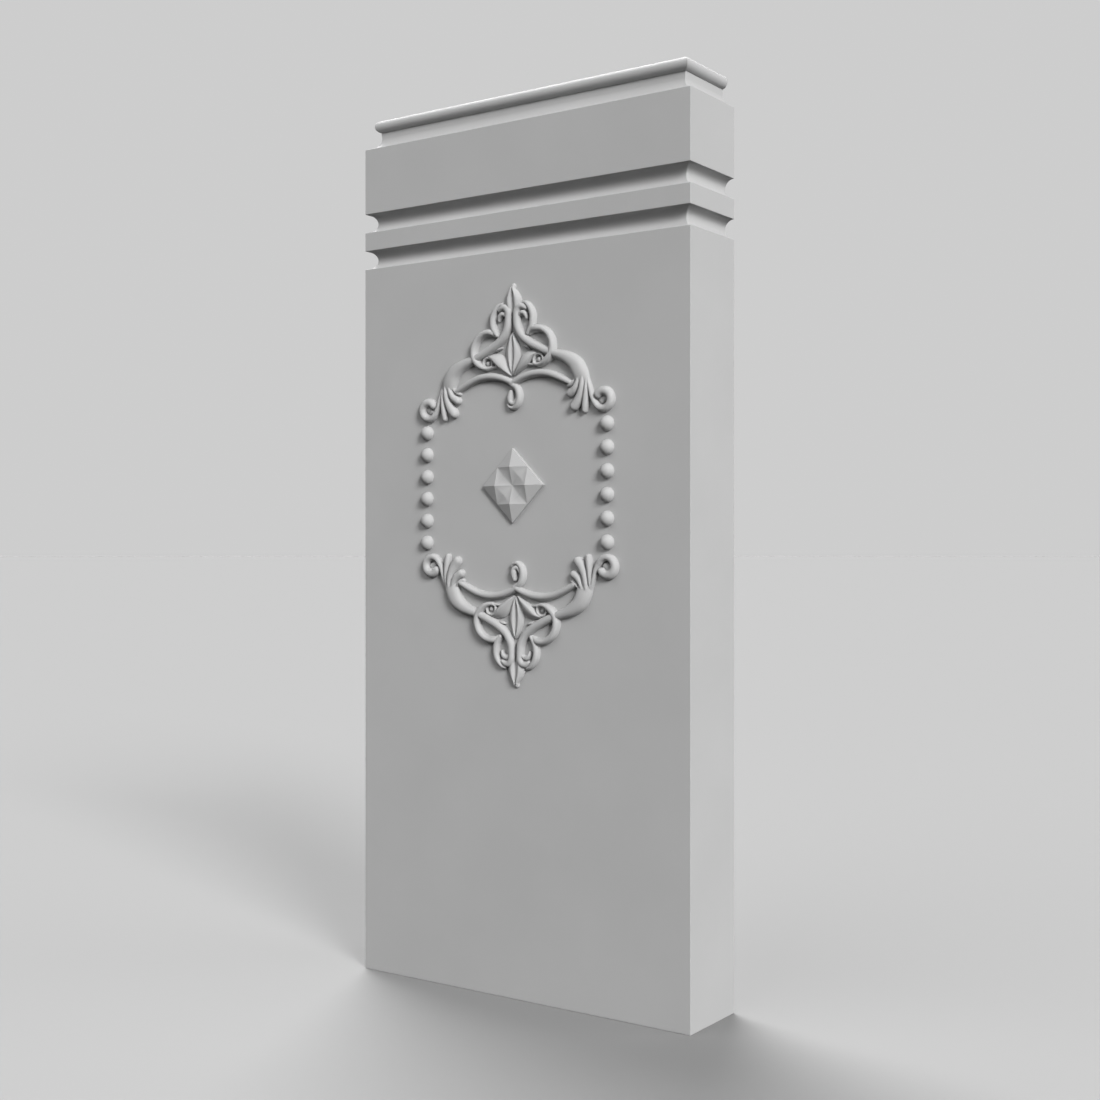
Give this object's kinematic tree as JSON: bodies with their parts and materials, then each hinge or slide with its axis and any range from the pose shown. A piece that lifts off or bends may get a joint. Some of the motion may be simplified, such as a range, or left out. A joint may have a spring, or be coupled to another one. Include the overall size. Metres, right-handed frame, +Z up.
{
  "type": "pilaster",
  "caption": "Flat pilaster block with a moulded cap, two round grooves, and a raised panel ornament of scrolled crests, beads and a diamond.",
  "frame": {"origin": "centre of the board's underside, with the carving standing proud of the front", "axes": "+Z up, -Y is the ornamented front, +Y the flat back, +X to the right seen from the front"},
  "size_m": [0.1424, 0.0329, 0.3235],
  "materials": {
    "primed_board": "smooth machined board sealed with matte pale grey primer"
  },
  "bodies": {
    "root": {"pilaster": "primed_board"}
  },
  "joints": []
}
